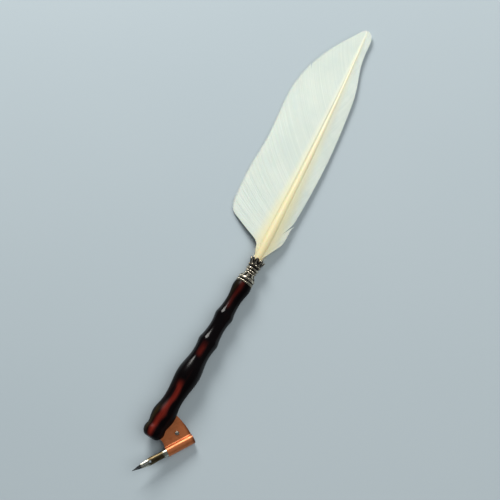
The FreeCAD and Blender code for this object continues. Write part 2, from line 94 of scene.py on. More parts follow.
# Feather shaft
SHAFT_PIVOT_X, SHAFT_SLOPE, SHAFT_CURVE, SHAFT_RISE = 105.0, 0.0435, 3.03e-4, 5.7e-5
SHAFT_STATIONS = [                         # (x, radius)
    (92.0, 1.1), (98.0, 1.3), (110.0, 1.5), (113.2, 2.2), (116.0, 2.55), (127.0, 2.95), (150.0, 2.45),
    (180.0, 1.8), (207.0, 1.35), (231.0, 1.0), (250.0, 0.65), (266.4, 0.25),
]
SHAFT_RINGS, SHAFT_AROUND = 320, 40
SHAFT_SMOOTHING = 6                        # rings each way that the radius is averaged over
GROOVE_FROM_X, GROOVE_FULL_X = 128.0, 140.0
GROOVE_DEPTH, GROOVE_WIDTH = 0.3, 0.45     # depth as a share of the radius, width in radians
TIP_ROUNDING = 0.6                         # length over which the shaft's end is rounded off

# Vanes: outlines are (x, y) from the base out to the tip.
REST_RING_X, REST_RING_R = 39.5, 6.65      # the ring that the handle lies on
REST_TILT = math.radians(1.455)            # the axis falls by this towards the feather
TIP = (267.1, 14.8)
WIDE_EDGE = [
    (113.4, 4.3), (118.6, 4.5), (122.2, 5.6), (125.2, 9.4), (127.8, 16.2), (130.2, 23.0), (134.0, 28.2),
    (146.7, 31.8), (162.5, 33.1), (179.0, 33.2), (195.0, 34.7), (213.0, 36.6), (229.0, 35.0), (244.0, 29.9),
    (256.6, 23.1), (263.4, 18.9), (266.3, 16.7), TIP,
]
NARROW_EDGE = [
    (114.6, -2.6), (118.6, -3.4), (122.8, -5.2), (127.4, -6.8), (140.0, -7.0), (153.0, -6.6), (169.0, -6.0),
    (185.0, -4.9), (200.6, -3.1), (216.0, -0.8), (231.3, 2.4), (245.5, 7.4), (258.0, 9.6), (264.2, 10.8),
    (266.5, 12.6), TIP,
]
BARB_STEPS = 18                            # lengths along each barb
BARB_THICKNESS = 0.13
BARB_OVERLAP = 1.45                        # width as a share of the spacing
BARB_TILT = 0.08                           # each barb lies with one edge over its neighbour
TIP_TAPER = 0.035                          # share of its length over which a barb runs to a point
BARB_NARROWEST = 0.16                      # the least spacing that a barb's width is worked out from
BARB_LIFT = 0.02                           # how unevenly their ends lie
ROOT_INSET = 0.55                          # where barbs start, as a share of the shaft's radius
BOW_VARIATION = 0.015                      # how unevenly they bend, as a share of the bend
SHADE_VARIATION = 0.2                      # and how unevenly they are coloured
SHORT_SHARE, SHORT_LENGTH = 0.006, 0.12    # they may stop short of the outline by a share and a length
SHORTEST_BARB = 0.3                        # the length of a barb whose line misses the outline
WIDEST_SPACING = 1.8                       # in median spacings
EDGE_SAMPLES = 500                         # points along each outline
DOWN_HAIRS, DOWN_STEPS, DOWN_SIDES = 90, 12, 3
DOWN_FROM_X, DOWN_REACH_X = 114.9, 6.5     # the stretch of shaft that it grows on
DOWN_LENGTH, DOWN_LONGER = 2.0, 3.2        # of the shortest hair, and by how much the longest is longer
DOWN_HALF_WIDTH = 0.05
DOWN_LEAN, DOWN_LEAN_MORE = 18, 40         # degrees off the shaft: the least, and what is added at most
DOWN_CURL = 25                             # degrees
DOWN_OFF_SHAFT = 1.8                       # the down is coloured like barbs this many radii off the shaft

CREAM_FROM_X, CREAM_LENGTH = 110.0, 156.0
CREAM = [                                  # the shaft's colour from base to tip
    (0.0, "#e9dcae"), (0.25, "#ece3b8"), (0.6, "#efeacb"), (1.0, "#ecebd6"),
]

# Materials' local frames and camera
TUBE_MOUTH = 21.3                          # from the nib's tip back to the flange's tube
VIEW_TURN, VIEW_TILT = 59.43, 14.0         # degrees: turned on the floor, and tilted off straight down
VIEW_TARGET, VIEW_DISTANCE = (-4.86, 0.22, 0.0), 739.6
VIEW_LENS, SENSOR = 94.46, 36.0
FLOOR_REACH = 6.0                          # metres each way
SKY, SKY_STRENGTH = (0.88, 0.94, 1.0, 1.0), 0.16


# ---------------------------------------------------------------- frames
def mount(name):
    return next(m for m in frame["record"]["mounts"] if m["name"] == name)


def joint_axis(name):
    return np.array(next(j for j in frame["joints"] if j["name"] == name)["axis"])


class LocalFrame:
    """An origin in metres and three unit axes in the row frame, for points given in millimetres."""

    def __init__(self, origin, x_axis, near_y):
        x = np.array(x_axis) / np.linalg.norm(x_axis)
        z = np.cross(x, np.array(near_y))
        z /= np.linalg.norm(z)
        self.origin, self.axes = np.array(origin), np.array([x, np.cross(z, x), z])

    def to_row(self, points):
        return self.origin + MM * (np.asarray(points, float) @ self.axes)


def pen_frame():
    """Origin at the handle's nib end, x along its axis towards the feather and y level."""
    rest = mount("pen_rest")
    axis = np.array(rest["axis"]) / np.linalg.norm(rest["axis"])
    return LocalFrame(np.array(rest["pos_m"]) - REST_X * MM * axis, axis, (0.0, 1.0, 0.0))


def nib_frame():
    """Origin at the nib's tip, x forward along the nib and z square to the flange's leaves."""
    seat, forward, up = mount("nib_seat"), joint_axis("nib_slide"), joint_axis("screw_turn")
    return LocalFrame(np.array(seat["pos_m"]) + TUBE_MOUTH * MM * forward, forward, np.cross(up, forward))


PEN, NIB = pen_frame(), nib_frame()


# ---------------------------------------------------------------- curves
def smooth_line(points, count):
    """count points along a natural cubic curve through the given points, spaced by its chords."""
    points = np.array(points, float)
    steps = np.linalg.norm(np.diff(points, axis=0), axis=1)
    at = np.concatenate([[0.0], np.cumsum(steps)])
    last = len(at) - 1
    system, right = np.eye(last + 1), np.zeros_like(points)
    for k in range(1, last):
        system[k, k - 1:k + 2] = steps[k - 1], 2 * (steps[k - 1] + steps[k]), steps[k]
        right[k] = 6 * ((points[k + 1] - points[k]) / steps[k] - (points[k] - points[k - 1]) / steps[k - 1])
    bend = np.linalg.solve(system, right)
    where = np.linspace(0.0, at[-1], count)
    k = np.clip(np.searchsorted(at, where, side="right") - 1, 0, last - 1)
    left, rest, width = (where - at[k])[:, None], (at[k + 1] - where)[:, None], steps[k][:, None]
    cubic = (bend[k] * rest ** 3 + bend[k + 1] * left ** 3) / (6 * width)
    return cubic + (points[k] / width - bend[k] * width / 6) * rest \
        + (points[k + 1] / width - bend[k + 1] * width / 6) * left


def shaft_centre(x):
    """The shaft's middle line, as (x, y, z): a gentle curve to the side and upwards."""
    run = np.asarray(x, float) - SHAFT_PIVOT_X
    return np.stack([x + 0 * run, SHAFT_SLOPE * run + SHAFT_CURVE * run ** 2, SHAFT_RISE * run ** 2], -1)


def shaft_radius(x):
    xs, rs = zip(*SHAFT_STATIONS)
    return np.interp(x, xs, rs)


def vane_height(vane, x, y):
    """A vane's height: up the shaft's flank at its roots, then bowing down to its outer edge."""
    centre, radius = shaft_centre(x), shaft_radius(x)
    off = np.abs(y - centre[..., 1])
    axis_height = REST_RING_R - (x - REST_RING_X) * math.tan(REST_TILT)
    drop = axis_height + centre[..., 2] - vane.edge_height
    root = vane.root_rise * radius * np.exp(-(off / (vane.root_reach * radius)) ** 2)
    return centre[..., 2] - drop * (off / vane.span) ** 2 + root


def soft_step(low, high, x):
    t = np.clip((x - low) / (high - low), 0.0, 1.0)
    return t * t * (3 - 2 * t)


# ---------------------------------------------------------------- meshes
class Shape:
    """Points, faces and one value per point, gathered from several closed shells."""

    def __init__(self):
        self.points, self.faces, self.values, self.count = [], [], [], 0

    def add(self, points, faces, values=0.0):
        points = np.asarray(points, float).reshape(-1, 3)
        self.points.append(points)
        self.values.append(np.broadcast_to(np.asarray(values, float), (len(points),)))
        self.faces.append([tuple(int(v) + self.count for v in f) for f in faces])
        self.count += len(points)

    def make(self, name, material, slot, replaces=(), merge=0.0, value_name="recess"):
        """A smooth mesh object in the row frame that rides on the pen's body and stands for CAD nodes."""
        mesh = bpy.data.meshes.new(name)
        mesh.from_pydata(PEN.to_row(np.concatenate(self.points)).tolist(), [], sum(self.faces, []))
        attribute = mesh.attributes.new(value_name, "FLOAT", "POINT")
        attribute.data.foreach_set("value", np.concatenate(self.values).astype(np.float32))
        if merge:
            work = bmesh.new()
            work.from_mesh(mesh)
            bmesh.ops.remove_doubles(work, verts=work.verts, dist=merge * MM)
            work.to_mesh(mesh)
            work.free()
        mesh.polygons.foreach_set("use_smooth", [True] * len(mesh.polygons))
        mesh.update()
        obj = bpy.data.objects.new(name, mesh)
        bpy.context.scene.collection.objects.link(obj)
        mesh.materials.append(material)
        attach(obj, "pen")
        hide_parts(*replaces)
        return obj


def grid_faces(rows, columns, wrap_rows=False):
    """Quads over a grid whose columns wrap round, and whose rows may too."""
    faces = []
    for i in range(rows if wrap_rows else rows - 1):
        for j in range(columns):
            a, b = i * columns, (i + 1) % rows * columns
            faces.append((a + j, a + (j + 1) % columns, b + (j + 1) % columns, b + j))
    return faces


def rod_faces(steps, sides):
    """The faces of a rod of rings, closed at both ends."""
    ends = [tuple(range(sides - 1, -1, -1)), tuple(range(steps * sides, (steps + 1) * sides))]
    return grid_faces(steps + 1, sides) + ends


def revolved(section, around):
    """Points, faces and values of a ring, from its section at each angle: rows of (x, radius, value)."""
    rows = np.array([section(2 * math.pi * k / around) for k in range(around)])
    angles = 2 * np.pi * np.arange(around)[:, None] / around
    x, r = rows[..., 0], rows[..., 1]
    points = np.stack([x, r * np.sin(angles), r * np.cos(angles)], -1)
    return points.reshape(-1, 3), grid_faces(around, rows.shape[1], wrap_rows=True), rows[..., 2].ravel()


def balls_round_axis(shape, count, x, circle_r, radius, value=0.0, half_step=False):
    """A row of round granules about the handle's axis."""
    work = bmesh.new()
    bmesh.ops.create_icosphere(work, subdivisions=3, radius=radius)
    ball = np.array([v.co for v in work.verts])
    faces = [tuple(v.index for v in f.verts) for f in work.faces]
    work.free()
    for k in range(count):
        angle = 2 * math.pi * (k + 0.5 * half_step) / count
        shape.add(ball + (x, circle_r * math.sin(angle), circle_r * math.cos(angle)), faces, value)


# ---------------------------------------------------------------- materials
def linear(code):
    """A hex colour as linear red, green, blue and alpha."""
    channels = [int(code[k:k + 2], 16) / 255 for k in (1, 3, 5)]
    values = [c / 12.92 if c <= 0.04045 else ((c + 0.055) / 1.055) ** 2.4 for c in channels]
    return (*values, 1.0)


class Look:
    """Short calls that build one material's nodes. Textures read millimetres in a local frame."""

    def __init__(self, name, place=PEN):
        self.material = bpy.data.materials.new(name)
        self.material.use_nodes = True
        self.tree = self.material.node_tree
        self.shader = self.tree.nodes["Principled BSDF"]
        self.point = self.local_point(place)

    def node(self, kind, **settings):
        made = self.tree.nodes.new("ShaderNode" + kind)
        for key, value in settings.items():
            setattr(made, key, value)
        return made

    def feed(self, socket, value):
        if isinstance(value, bpy.types.NodeSocket):
            self.tree.links.new(value, socket)
        else:
            socket.default_value = value

    def set(self, **inputs):
        """Sets shader inputs by name, with _ for spaces."""
        for key, value in inputs.items():
            self.feed(self.shader.inputs[key.replace("_", " ")], value)

    def local_point(self, place):
        """Object coordinates as millimetres in a local frame."""
        turn = Matrix(place.axes.tolist())
        mapping = self.node("Mapping", vector_type="POINT")
        self.feed(mapping.inputs["Vector"], self.node("TexCoord").outputs["Object"])
        mapping.inputs["Scale"].default_value = (1 / MM,) * 3
        mapping.inputs["Rotation"].default_value = turn.to_euler("XYZ")
        mapping.inputs["Location"].default_value = -(turn @ Vector(place.origin / MM))
        return mapping.outputs["Vector"]

    def stretched(self, stretch):
        """The point scaled along each axis, so that a texture is drawn out where the scale is small."""
        mapping = self.node("Mapping", vector_type="POINT")
        self.feed(mapping.inputs["Vector"], self.point)
        mapping.inputs["Scale"].default_value = stretch
        return mapping.outputs["Vector"]

    def split(self):
        """The point's x, y and z."""
        parts = self.node("SeparateXYZ")
        self.feed(parts.inputs[0], self.point)
        return parts.outputs[0], parts.outputs[1], parts.outputs[2]

    def noise(self, scale, detail=3.0, stretch=(1, 1, 1), rough=0.5):
        """Noise from 0 to 1, with scale in repeats per millimetre."""
        made = self.node("TexNoise")
        self.feed(made.inputs["Vector"], self.stretched(stretch))
        made.inputs["Scale"].default_value = scale
        made.inputs["Detail"].default_value = detail
        made.inputs["Roughness"].default_value = rough
        return made.outputs["Fac"]

    def math(self, operation, a, b=0.0):
        made = self.node("Math", operation=operation)
        self.feed(made.inputs[0], a)
        self.feed(made.inputs[1], b)
        return made.outputs[0]

    def add(self, a, b):
        return self.math("ADD", a, b)

    def times(self, a, b):
        return self.math("MULTIPLY", a, b)

    def around_zero(self, fraction, size):
        """A value of 0 to 1 brought to -size/2..size/2."""
        return self.times(self.math("SUBTRACT", fraction, 0.5), size)

    def span(self, value, low, high, to_low=0.0, to_high=1.0):
        """value from low..high brought smoothly to to_low..to_high."""
        made = self.node("MapRange", interpolation_type="SMOOTHSTEP")
        for socket, number in zip(made.inputs[:5], (value, low, high, to_low, to_high)):
            self.feed(socket, number)
        return made.outputs[0]

    def mix(self, share, a, b):
        made = self.node("Mix", data_type="RGBA")
        self.feed(made.inputs[0], share)
        self.feed(made.inputs[6], a)
        self.feed(made.inputs[7], b)
        return made.outputs[2]

    def ramp(self, value, stops):
        """A colour ramp from (position, hex colour) stops."""
        made = self.node("ValToRGB")
        elements = made.color_ramp.elements
        while len(elements) < len(stops):
            elements.new(0.5)
        for element, (position, colour) in zip(elements, stops):
            element.position, element.color = position, linear(colour)
        self.feed(made.inputs[0], value)
        return made.outputs[0]

    def value(self, name):
        """A value that the mesh's points carry."""
        return self.node("Attribute", attribute_name=name).outputs["Fac"]

    def bump(self, height, depth, normal=None):
        """A normal from a height of 0 to 1, with its depth in millimetres."""
        made = self.node("Bump")
        made.inputs["Distance"].default_value = depth * MM
        self.feed(made.inputs["Height"], height)
        if normal is not None:
            self.feed(made.inputs["Normal"], normal)
        return made.outputs[0]


def handle_resin():
    """Polished black resin with deep red and olive-brown streaks along it."""
    look = Look("handle_resin")
    x, y, z = look.split()
    wander = look.noise(0.06, 2, stretch=(1, 0.4, 0.4))
    angle = look.math("ARCTAN2", y, z)
    swayed = look.add(angle, look.around_zero(wander, 0.9))
    grain = look.noise(0.6, 5, stretch=(0.05, 1, 1))

    def streak(centre, half_width, *stretches):
        """A soft streak round one angle, over stretches of (from, to, strength) along the handle."""
        off_centre = look.math("ABSOLUTE", look.math("SUBTRACT", swayed, centre))
        ragged = look.add(off_centre, look.around_zero(grain, 0.5))
        place = 0.0
        for start, end, strength in stretches:
            fade_in = look.span(x, start, start + 4.0)
            fade_out = look.span(x, end, end - 6.0)
            here = look.times(look.times(fade_in, fade_out), strength)
            place = look.math("MAXIMUM", here, place)
        return look.times(look.span(ragged, half_width, 0.0), place)

    veins = look.span(look.noise(0.35, 4, stretch=(0.07, 1, 1)), 0.56, 0.72, 0.0, 0.5)
    body = look.mix(veins, linear("#060304"), linear("#220906"))
    olive = streak(0.7, 0.3, (0.0, 20.0, 0.6), (84.0, 104.0, 0.3))
    body = look.mix(olive, body, linear("#33260f"))
    above = streak(0.1, 0.44, (-6.0, 36.0, 0.95), (49.0, 61.0, 0.6), (80.0, 108.0, 0.3))
    below = streak(-2.4, 0.5, (8.0, 52.0, 0.5), (62.0, 104.0, 0.4))
    red = look.math("MAXIMUM", above, below)
    look.set(Base_Color=look.mix(red, body, look.ramp(grain, [(0.35, "#4c110c"), (0.7, "#84281d")])))
    worn = look.math("MAXIMUM", look.span(x, 52.0, 30.0), look.span(x, 80.0, 90.0))     # dulled by use
    polish = look.span(look.noise(0.25, 4), 0.3, 0.8, 0.12, 0.2)
    rough = look.add(polish, look.times(worn, 0.22))
    look.set(Roughness=rough, IOR=1.27, Specular_IOR_Level=look.span(worn, 0.0, 1.0, 0.5, 0.2))
    turning = look.noise(1.2, 2, stretch=(1, 0.05, 0.05))
    look.set(Normal=look.bump(turning, 0.006, look.bump(look.noise(0.5, 2), 0.02)))
    return look.material


def copper():
    """Bent copper sheet: brushed and a little tarnished, with painted shade darkening its tube's rear end."""
    look = Look("copper_sheet", NIB)
    brushed = look.noise(3.0, 4, stretch=(0.06, 1, 1))
    cloud = look.noise(0.22, 5, rough=0.6)
    fresh = look.mix(brushed, linear("#d08254"), linear("#bd6838"))
    stain = look.span(cloud, 0.45, 0.8, 0.0, 0.6)
    sheet = look.mix(stain, fresh, linear("#9a5028"))
    x, _, _ = look.split()
    # painted shade: the tube's rear end is darkened where its open bore falls in shadow
    tube_end_painted_shade = look.span(x, -35.2, -37.4, 0.0, 0.75)
    look.set(Base_Color=look.mix(tube_end_painted_shade, sheet, linear("#3a1a0c")), Metallic=0.6)
    rough = look.add(look.span(cloud, 0.3, 0.8, 0.3, 0.42), look.times(brushed, 0.08))
    look.set(Roughness=rough)
    look.set(Normal=look.bump(brushed, 0.006, look.bump(look.noise(0.4, 3), 0.03)))
    return look.material


def nib_steel():
    """Polished, heat-tinted steel with dried ink on the point and along the slit; its bright bands are partly
    painted highlight.
    """
    look = Look("nib_steel", NIB)
    x, y, _ = look.split()
    cloud = look.noise(0.5, 4, stretch=(0.5, 1, 1))
    ragged = look.add(x, look.around_zero(look.noise(1.1, 3), 2.4))
    # bright bands before the point and by the mouth: partly polish, partly painted highlight where the light
    # glints
    polished = look.times(look.span(ragged, -11.0, -8.5), look.span(ragged, -4.4, -6.0))
    mouth_polish_and_highlight = look.span(ragged, -18.2, -20.2)
    bright = look.math("MAXIMUM", polished, mouth_polish_and_highlight)
    heated = look.mix(look.span(cloud, 0.35, 0.75), linear("#675c44"), linear("#43341f"))
    metal = look.mix(bright, heated, linear("#cfd0c0"))
    at_tip = look.span(ragged, -6.4, -4.8)
    near_slit = look.times(look.span(look.math("ABSOLUTE", y), 0.4, 0.1), look.span(ragged, -9.0, -4.0))
    ink = look.math("MAXIMUM", at_tip, look.times(near_slit, 0.8))
    look.set(Base_Color=look.mix(ink, metal, linear("#0b0d12")))
    look.set(Metallic=look.span(ink, 0.0, 1.0, 1.0, 0.25))
    rough = look.add(look.span(bright, 0.0, 1.0, 0.34, 0.16), look.times(cloud, 0.12))
    look.set(Roughness=look.add(rough, look.times(ink, 0.15)))
    look.set(Normal=look.bump(look.noise(3.0, 2, stretch=(1, 0.08, 1)), 0.001, look.bump(ink, 0.02)))
    return look.material


def small_steel(name, code, place):
    """Machined steel of the screw and nut, with fine turning marks and patches of dirt."""
    look = Look(name, place)
    marks = look.noise(6.0, 3)
    dirt = look.span(look.noise(1.4, 4), 0.5, 0.8, 0.0, 0.7)
    look.set(Base_Color=look.mix(dirt, linear(code), linear("#4a443b")), Metallic=1.0)
    look.set(Roughness=look.span(marks, 0.2, 0.8, 0.2, 0.36), Normal=look.bump(marks, 0.004))
    return look.material


def antique_silver():
    """Cast silver-plated metal, worn bright on the high places and oxidised black in the recesses."""
    look = Look("antique_silver")
    patina = look.noise(1.3, 5, rough=0.6)
    deep = look.add(look.value("recess"), look.around_zero(patina, 0.5))
    dark = look.span(deep, 0.1, 0.5)
    silver = look.mix(look.span(patina, 0.3, 0.7), linear("#ece5d4"), linear("#b5a68c"))
    look.set(Base_Color=look.mix(dark, silver, linear("#130d09")), Metallic=look.span(dark, 0, 1, 1.0, 0.6))
    look.set(Roughness=look.span(dark, 0.0, 1.0, 0.24, 0.5))
    look.set(Normal=look.bump(look.noise(2.5, 4), 0.03))
    return look.material


def sleeve_brass():
    """Plain drawn brass, unevenly tarnished."""
    look = Look("sleeve_brass")
    tarnish = look.noise(0.8, 4)
    look.set(Base_Color=look.mix(tarnish, linear("#c9a24f"), linear("#8a6a2c")), Metallic=1.0)
    look.set(Roughness=look.span(tarnish, 0.3, 0.7, 0.25, 0.45))
    look.set(Normal=look.bump(look.noise(5.0, 2), 0.004))
    return look.material


def quill_horn():
    """The feather's shaft: creamy horn, yellower at its base, finely grooved along its length."""
    look = Look("quill_horn")
    x, _, _ = look.split()
    fibre = look.noise(2.2, 4, stretch=(0.03, 1, 1))
    along = look.math("DIVIDE", look.math("SUBTRACT", x, CREAM_FROM_X), CREAM_LENGTH)
    cream = look.ramp(along, CREAM)
    look.set(Base_Color=look.mix(look.span(fibre, 0.35, 0.75, 0.0, 0.3), cream, linear("#e0cf9a")))
    look.set(Roughness=look.span(fibre, 0.3, 0.7, 0.34, 0.5))
    look.set(Subsurface_Weight=0.25, Subsurface_Scale=0.0015)
    look.set(Coat_Weight=0.15, Coat_Roughness=0.25, Normal=look.bump(fibre, 0.03))
    return look.material


def vane_white():
    """White barbs: creamy by the shaft, cooler outward, each a slightly different shade, with painted light making
    the narrow vane lighter than the wide one.
    """
    look = Look("vane_white")
    shade = look.value("shade")
    x, _, _ = look.split()
    band = look.noise(0.07, 3, stretch=(1, 1, 0.1))
    white = look.mix(shade, linear("#e6ebe0"), linear("#d7ded4"))
    cooler = look.mix(look.span(band, 0.35, 0.7, 0.0, 0.4), white, linear("#ccd8d1"))
    by_shaft = look.span(look.value("off_shaft"), 3.6, 0.6, 0.0, 0.9)
    look.set(Base_Color=look.mix(by_shaft, cooler, look.ramp(look.span(x, 112, 240), CREAM)))
    look.set(Roughness=0.62, Sheen_Weight=0.25, Sheen_Roughness=0.4)
    look.set(Subsurface_Weight=0.12, Subsurface_Scale=0.0008)
    look.set(Normal=look.bump(look.noise(4.5, 2, stretch=(1, 0.3, 1)), 0.02))
    return look.material


def floor_paint():
    """Matt, pale blue-grey paint."""
    look = Look("floor_paint")
    tone = look.noise(0.004, 2)
    look.set(Base_Color=look.mix(tone, linear("#aebcc3"), linear("#b6c2c8")), Roughness=0.85)
    return look.material


# ---------------------------------------------------------------- handle
def slot_cutter():
    """A thin box in the leaves' plane, which cuts the flange's slot out of the handle's nib end."""
    leaf_up = joint_axis("screw_turn")
    across = np.cross(leaf_up, PEN.axes[0])
    sides = ((SLOT_PAST_X, SLOT_REAR_X), (SLOT_PAST_Y, SLOT_DEPTH_Y), (-SLOT_HALF, SLOT_HALF))
    box = [(x, y, z) for x in sides[0] for y in sides[1] for z in sides[2]]
    axes = np.array([PEN.axes[0], across, leaf_up])
    mesh = bpy.data.meshes.new("slot_cutter")
    faces = [(0, 1, 3, 2), (4, 6, 7, 5), (0, 4, 5, 1), (2, 3, 7, 6), (0, 2, 6, 4), (1, 5, 7, 3)]
    mesh.from_pydata((PEN.origin + MM * (np.array(box) @ axes)).tolist(), [], faces)
    cutter = bpy.data.objects.new("slot_cutter", mesh)
    bpy.context.scene.collection.objects.link(cutter)
    return cutter


def build_handle(material):
    """The turned handle, with the ferrule's bore in its top and the flange's slot in its nib end."""
    outline = smooth_line(HANDLE_PROFILE, HANDLE_RINGS)
    tail = [(HANDLE_LENGTH, RING_BORE), (SOCKET_X, RING_BORE), (SOCKET_X, 0.0)]
    section = np.array([(0.0, 0.0), *outline.tolist(), *tail])
    section = np.concatenate([section, np.zeros((len(section), 1))], 1)
    shape = Shape()
    points, faces, values = revolved(lambda angle: section, HANDLE_AROUND)
    per_row = len(section)
    faces = [f for f in faces if {v % per_row for v in f} != {0, per_row - 1}]      # none along the axis
    shape.add(points, faces, values)
    handle = shape.make("handle_turned", material, "handle_resin", replaces=["handle"], merge=1e-4)
    cutter = slot_cutter()
    cut = handle.modifiers.new("slot", "BOOLEAN")
    cut.operation, cut.object, cut.solver = "DIFFERENCE", cutter, "EXACT"
    bpy.context.view_layer.update()
    finished = bpy.data.meshes.new_from_object(handle.evaluated_get(bpy.context.evaluated_depsgraph_get()))
    handle.modifiers.clear()
    handle.data = finished
    bpy.data.objects.remove(cutter)
    finished.set_sharp_from_angle(angle=math.radians(SHARP_DEGREES))


# ---------------------------------------------------------------- ferrule
def closed_ring(xs, outside, recess):
    """A section from an outer profile back along the bore, as rows of (x, radius, recess)."""
    outer = np.stack([xs, outside, recess + 0 * xs], -1)
    bore = [(xs[-1], RING_BORE, BORE_RECESS), (xs[0], RING_BORE, BORE_RECESS)]
    return np.concatenate([outer, bore])


def build_foot_ring(material):
    """A rounded ring twisted like rope."""
    half = (BELL_X - FOOT_X) / 2
    xs = FOOT_X + half - half * np.cos(np.linspace(0.0, np.pi, 25))
    round_off = np.sqrt(np.clip(1 - ((xs - FOOT_X - half) / half) ** 2, 0, 1))
    plain = FOOT_R - FOOT_CROWN + FOOT_CROWN * round_off

    def section(angle):
        twist = ROPE_STRANDS * angle + 2 * np.pi * xs / ROPE_PITCH
        groove = (0.5 + 0.5 * np.cos(twist)) ** 3
        return closed_ring(xs, plain - ROPE_DEPTH * groove, groove)

    shape = Shape()
    shape.add(*revolved(section, 2 * AROUND))
    shape.make("ferrule_rope_ring", material, "antique_silver", replaces=["ferrule_foot_ring"])


def build_bell_cap(material):
    """A bead cap: a row of granules round its foot, then flutes that narrow to its neck."""
    outline = smooth_line(BELL_PROFILE, OUTLINE_STEPS)
    rise = outline[:, 0]

    def section(angle):
        lobe = abs(math.cos(BELL_FLUTES * angle / 2)) ** 0.7
        starting = soft_step(BELL_FLUTE_FROM, BELL_FLUTE_FROM + 0.5, rise)
        fluted = starting * soft_step(BELL_FLUTE_TO, BELL_FLUTE_FADE, rise)
        step = np.exp(-((rise - BELL_FLUTE_FROM) / BELL_STEP_WIDTH) ** 2)
        outside = outline[:, 1] - BELL_FLUTE_DEPTH * fluted * (1 - lobe) - BELL_STEP_DEPTH * step
        recess = np.clip(fluted * (1 - lobe) * 1.5 + 0.9 * step, 0, 1) + 0.7 * soft_step(0.9, 0.4, rise)
        return closed_ring(BELL_X + rise, outside, recess)

    shape = Shape()
    shape.add(*revolved(section, AROUND))
    balls_round_axis(shape, GRANULES, BELL_X + GRANULE_X, GRANULE_CIRCLE_R, GRANULE_R)
    bead_x = BELL_X + NECK_BEAD_X
    balls_round_axis(shape, 2 * BELL_FLUTES, bead_x, NECK_BEAD_CIRCLE_R, NECK_BEAD_R, half_step=True)
    shape.make("ferrule_fluted_cap", material, "antique_silver", replaces=["ferrule_bell_cap"])


def build_daisy_spacer(material):
    """A dark core with a ring of balls round it."""
    xs = np.linspace(SPACER_X, COLLAR_X, 9)
    shape = Shape()
    shape.add(*revolved(lambda angle: closed_ring(xs, SPACER_CORE_R + 0 * xs, 1.0), AROUND // 2))
    middle = (SPACER_X + COLLAR_X) / 2
    balls_round_axis(shape, SPACER_BALLS, middle, SPACER_CORE_R, SPACER_BALL_R, value=0.22)
    shape.make("ferrule_ball_spacer", material, "antique_silver", replaces=["ferrule_daisy_spacer"])


def build_collar_ring(material):
    """A polished ring with a fine beaded line round its middle."""
    half = (CROWN_X - COLLAR_X) / 2
    across = np.linspace(-1.0, 1.0, 21)
    plain = COLLAR_R - COLLAR_CROWN * across ** 4

    def section(angle):
        line = np.exp(-(across / COLLAR_LINE_WIDTH) ** 2)
        bead = 0.5 + 0.5 * math.cos(COLLAR_BEADS * angle)
        outside = plain - COLLAR_LINE_DEPTH * line * (1 - 0.7 * bead)
        return closed_ring(COLLAR_X + half + half * across, outside, 0.5 * line * (1 - bead))

    shape = Shape()
    shape.add(*revolved(section, AROUND))
    shape.make("ferrule_beaded_collar", material, "antique_silver", replaces=["ferrule_collar_ring"])


def build_crown(material):
    """A flower-shaped cup that holds the quill: nine ribbed petals, with a knob below each cleft."""
    outline = smooth_line(CROWN_OUTSIDE, OUTLINE_STEPS)
    rim = CROWN_END - CROWN_X

    def radius(x):
        return np.interp(x, outline[:, 0], outline[:, 1])

    def section(angle):
        petal = abs(math.cos(CROWN_PETALS * angle / 2))
        end = rim - CROWN_CLEFT * (1 - petal ** 0.6)
        out_x, in_x = np.linspace(0.0, end, 40), np.linspace(end, CROWN_FLOOR_X, 30)
        flare = soft_step(PETALS_FROM_X, rim, out_x)
        rib = math.exp(-((1 - petal) / PETAL_RIB_WIDTH) ** 2)
        ribbed = radius(out_x) - PETAL_VALLEY * flare * (1 - petal) ** 1.3 + PETAL_RIB * rib * flare
        edge = soft_step(end - 0.55, end - 0.1, out_x)
        groove = np.exp(-((out_x - end + RIM_LINE_X) / RIM_LINE_WIDTH) ** 2) * soft_step(2.2, 3.2, out_x)
        tarnish = 0.4 + 0.6 * flare * (1 - petal) + 0.5 * groove + 0.5 * soft_step(1.3, 0.3, out_x)
        recess = np.clip(tarnish - edge - 0.3 * rib * flare, 0, 1)
        inside = radius(in_x) - CROWN_WALL - 0.25 * (rim - in_x) / rim - 0.2 * (1 - petal)
        outer_wall = np.stack([out_x, ribbed - RIM_LINE_DEPTH * groove, recess], -1)
        inner_wall = np.stack([in_x, inside, CUP_RECESS + 0 * in_x], -1)
        bore = np.array([(CROWN_FLOOR_X, RING_BORE, CUP_RECESS), (0.0, RING_BORE, CUP_RECESS)])
        return np.concatenate([outer_wall, inner_wall, bore]) + (CROWN_X, 0, 0)

    shape = Shape()
    shape.add(*revolved(section, 2 * AROUND))
    knob_x = CROWN_X + CROWN_KNOB_X
    balls_round_axis(shape, CROWN_PETALS, knob_x, CROWN_KNOB_OUT, CROWN_KNOB_R, half_step=True)
    shape.make("ferrule_petal_crown", material, "antique_silver", replaces=["ferrule_crown"])


